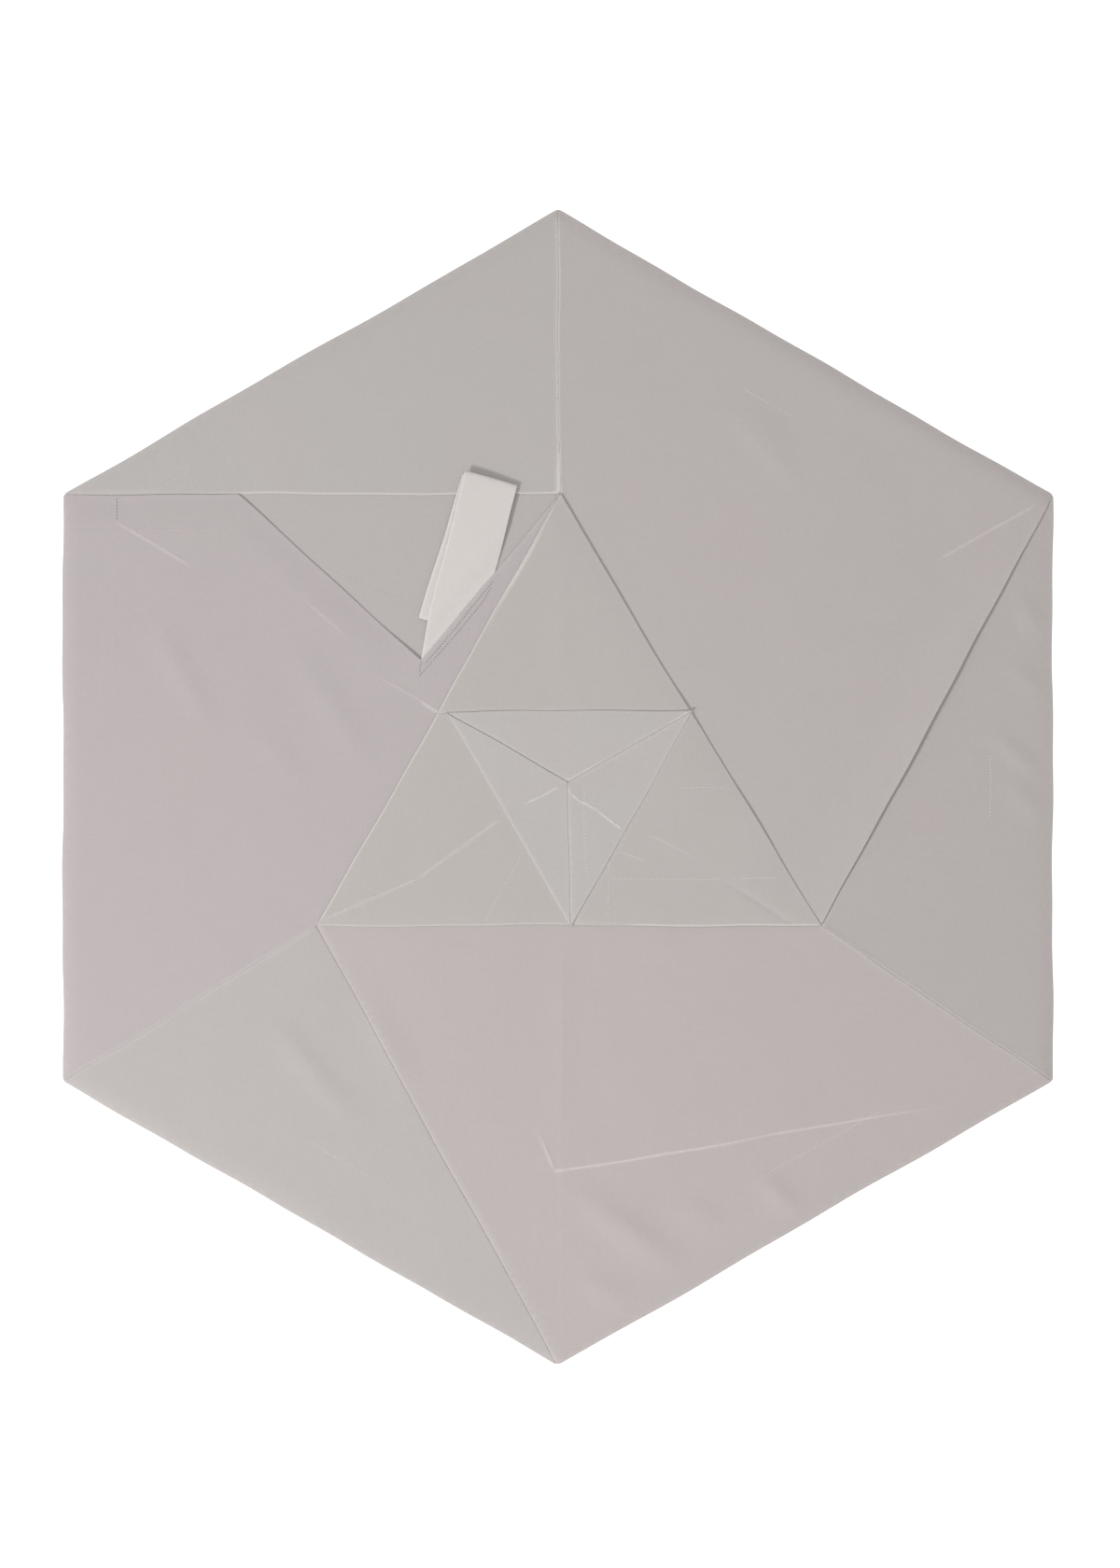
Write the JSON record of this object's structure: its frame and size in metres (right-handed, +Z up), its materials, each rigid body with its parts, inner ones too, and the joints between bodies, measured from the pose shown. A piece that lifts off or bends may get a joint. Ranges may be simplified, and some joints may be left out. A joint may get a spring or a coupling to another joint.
{
  "type": "teepee tent",
  "caption": "Hexagonal cloth teepee tent folded flat: pinwheel of walls over a floor, a raised three-sided crown and a pale webbing strap.",
  "frame": {"origin": "middle of the hexagon, on the floor's lower face", "axes": "+Z up out of the floor, +Y towards the hexagon's upper tip, +X to the right, looking down"},
  "size_m": [1.06, 1.2362, 0.008],
  "materials": {
    "canvas": "matt pale warm grey plain-weave cotton canvas, pressed flat",
    "lining_cloth": "the canvas's inner face",
    "floor_cloth": "matt pale warm grey canvas",
    "webbing": "paler close-woven twill tape with stitched edges"
  },
  "bodies": {
    "floor": {"floor_panel": "floor_cloth"},
    "crown": {"crown_top": "canvas", "crown_right": "canvas", "crown_left": "canvas", "crown_lining": "lining_cloth"},
    "upper_wall_body": {"upper_wall": "canvas", "upper_pleat": "lining_cloth"},
    "lower_wall_body": {"lower_wall": "canvas", "lower_pleat": "lining_cloth"},
    "left_wall_body": {"left_wall": "canvas", "left_pleat": "lining_cloth", "strap_anchor": "webbing"},
    "upper_left_wall_body": {"upper_left_wall": "canvas"},
    "right_wall_body": {"right_wall": "canvas"},
    "lower_left_wall_body": {"lower_left_wall": "canvas"},
    "vent_top_body": {"vent_flap_top": "canvas"},
    "vent_right_body": {"vent_flap_right": "canvas"},
    "vent_left_body": {"vent_flap_left": "canvas"},
    "strap_body": {"strap": "webbing"},
    "strap_tail_body": {"strap_tail": "webbing"}
  },
  "joints": [
    {"name": "crown_lift", "type": "slide", "parent": "floor", "child": "crown", "axis": [0, 0, 1], "range_m": [0, 0.12]},
    {"name": "upper_wall_fold", "type": "hinge", "parent": "floor", "child": "upper_wall_body", "pos_m": [0.265, 0.4665, 0.0018], "axis": [-0.8667, 0.4988, 0], "range_deg": [0, 17]},
    {"name": "lower_wall_fold", "type": "hinge", "parent": "floor", "child": "lower_wall_body", "pos_m": [0.265, -0.4665, 0.0018], "axis": [0.8667, 0.4988, 0], "range_deg": [0, 17]},
    {"name": "left_wall_fold", "type": "hinge", "parent": "floor", "child": "left_wall_body", "pos_m": [-0.53, 0, 0.0018], "axis": [0, -1, 0], "range_deg": [0, 17]},
    {"name": "upper_left_wall_fold", "type": "hinge", "parent": "floor", "child": "upper_left_wall_body", "pos_m": [-0.265, 0.4665, 0.0018], "axis": [-0.8667, -0.4988, 0], "range_deg": [0, 27]},
    {"name": "right_wall_fold", "type": "hinge", "parent": "floor", "child": "right_wall_body", "pos_m": [0.53, 0, 0.0018], "axis": [0, 1, 0], "range_deg": [0, 27]},
    {"name": "lower_left_wall_fold", "type": "hinge", "parent": "floor", "child": "lower_left_wall_body", "pos_m": [-0.265, -0.4665, 0.0018], "axis": [0.8667, -0.4988, 0], "range_deg": [0, 27]},
    {"name": "vent_flap_top_fold", "type": "hinge", "parent": "crown", "child": "vent_top_body", "pos_m": [0.012, 0.081, 0.0068], "axis": [-1, -0.0077, 0], "range_deg": [0, 85]},
    {"name": "vent_flap_right_fold", "type": "hinge", "parent": "crown", "child": "vent_right_body", "pos_m": [0.0785, -0.0325, 0.0068], "axis": [0.485, 0.8745, 0], "range_deg": [0, 85]},
    {"name": "vent_flap_left_fold", "type": "hinge", "parent": "crown", "child": "vent_left_body", "pos_m": [-0.0515, -0.0335, 0.0068], "axis": [0.5055, -0.8628, 0], "range_deg": [0, 85]},
    {"name": "strap_fold", "type": "hinge", "parent": "left_wall_body", "child": "strap_body", "pos_m": [-0.106, 0.1855, 0.0065], "axis": [0.6394, 0.7689, 0], "range_deg": [0, 140]},
    {"name": "strap_tail_fold", "type": "hinge", "parent": "strap_body", "child": "strap_tail_body", "pos_m": [-0.0715, 0.331, 0.0065], "axis": [0.9615, -0.2747, 0], "range_deg": [0, 12]}
  ],
  "couplings": [
    {"joint": "upper_wall_fold", "follows": "crown_lift", "rad_per_m": 2.36},
    {"joint": "lower_wall_fold", "follows": "crown_lift", "rad_per_m": 2.36},
    {"joint": "left_wall_fold", "follows": "crown_lift", "rad_per_m": 2.36},
    {"joint": "upper_left_wall_fold", "follows": "crown_lift", "rad_per_m": 3.76},
    {"joint": "right_wall_fold", "follows": "crown_lift", "rad_per_m": 3.76},
    {"joint": "lower_left_wall_fold", "follows": "crown_lift", "rad_per_m": 3.76},
    {"joint": "vent_flap_right_fold", "follows": "vent_flap_top_fold", "ratio": 1},
    {"joint": "vent_flap_left_fold", "follows": "vent_flap_top_fold", "ratio": 1},
    {"joint": "strap_tail_fold", "follows": "strap_fold", "ratio": 0.08}
  ]
}
